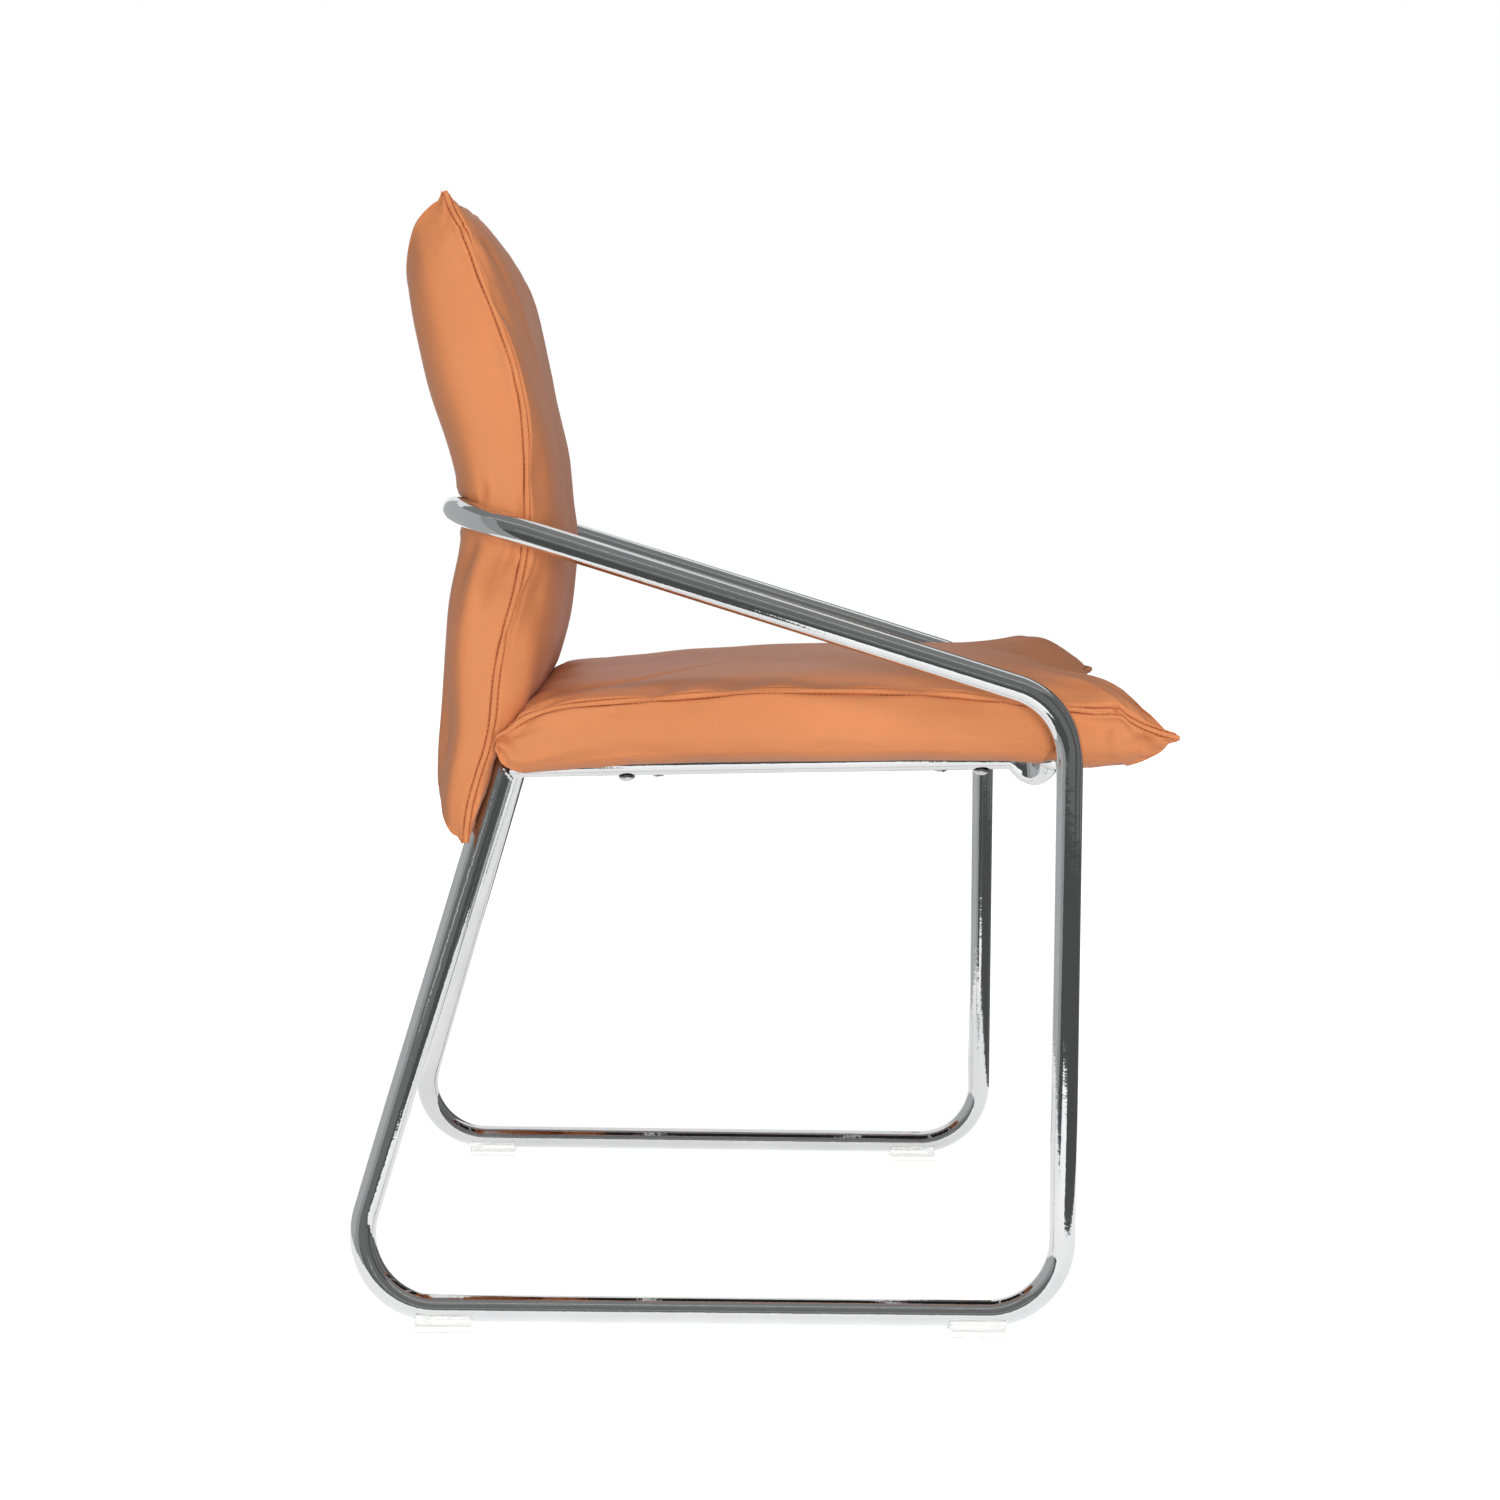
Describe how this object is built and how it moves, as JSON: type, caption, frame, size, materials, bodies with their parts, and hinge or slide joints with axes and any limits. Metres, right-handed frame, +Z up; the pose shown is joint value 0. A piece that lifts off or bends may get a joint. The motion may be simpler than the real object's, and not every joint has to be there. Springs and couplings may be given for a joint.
{
  "type": "visitor chair",
  "caption": "Sled base visitor chair: a bent chrome tube makes runners, legs and arms that loop behind the back; padded leather seat and back cushions.",
  "frame": {"origin": "on the floor, under the middle of the chair's overall box", "axes": "+Z up, the sitter faces -Y, +X to the sitter's left"},
  "size_m": [0.544, 0.6188, 0.8459],
  "materials": {
    "chrome_tube": "polished",
    "orange_leather": "fine grain, satin",
    "foam": "open cell foam",
    "plywood": "raw",
    "black_cloth": "matte",
    "clear_plastic": "milky",
    "black_plastic": "matte",
    "zinc_steel": "zinc plated"
  },
  "bodies": {
    "root": {"frame_tube_left": "chrome_tube", "frame_tube_right": "chrome_tube", "seat_rail_left": "chrome_tube", "seat_rail_right": "chrome_tube", "front_cross_tube": "chrome_tube", "rear_cross_tube": "chrome_tube", "loop_sleeve": "zinc_steel", "glide_front_left": "clear_plastic", "glide_front_right": "clear_plastic", "glide_rear_left": "clear_plastic", "glide_rear_right": "clear_plastic", "post_plug_left": "black_plastic", "post_plug_right": "black_plastic", "seat_cover_top": "orange_leather", "seat_cover_side": "orange_leather", "seat_foam": "foam", "seat_board": "plywood", "seat_base_cloth": "black_cloth", "seat_screw_front_left": "zinc_steel", "seat_screw_front_right": "zinc_steel", "seat_screw_rear_left": "zinc_steel", "seat_screw_rear_right": "zinc_steel", "seat_tee_nut_front_left": "zinc_steel", "seat_tee_nut_front_right": "zinc_steel", "seat_tee_nut_rear_left": "zinc_steel", "seat_tee_nut_rear_right": "zinc_steel", "back_cover_front": "orange_leather", "back_cover_rear": "orange_leather", "back_foam": "foam", "back_board": "plywood", "back_post_spacer_left": "zinc_steel", "back_post_spacer_right": "zinc_steel", "back_loop_spacer_left": "zinc_steel", "back_loop_spacer_right": "zinc_steel", "back_lower_tee_nut_left": "zinc_steel", "back_lower_tee_nut_right": "zinc_steel", "back_upper_tee_nut_left": "zinc_steel", "back_upper_tee_nut_right": "zinc_steel", "back_post_screw_left": "zinc_steel", "back_post_screw_right": "zinc_steel", "back_loop_screw_left": "zinc_steel", "back_loop_screw_right": "zinc_steel"}
  },
  "joints": []
}
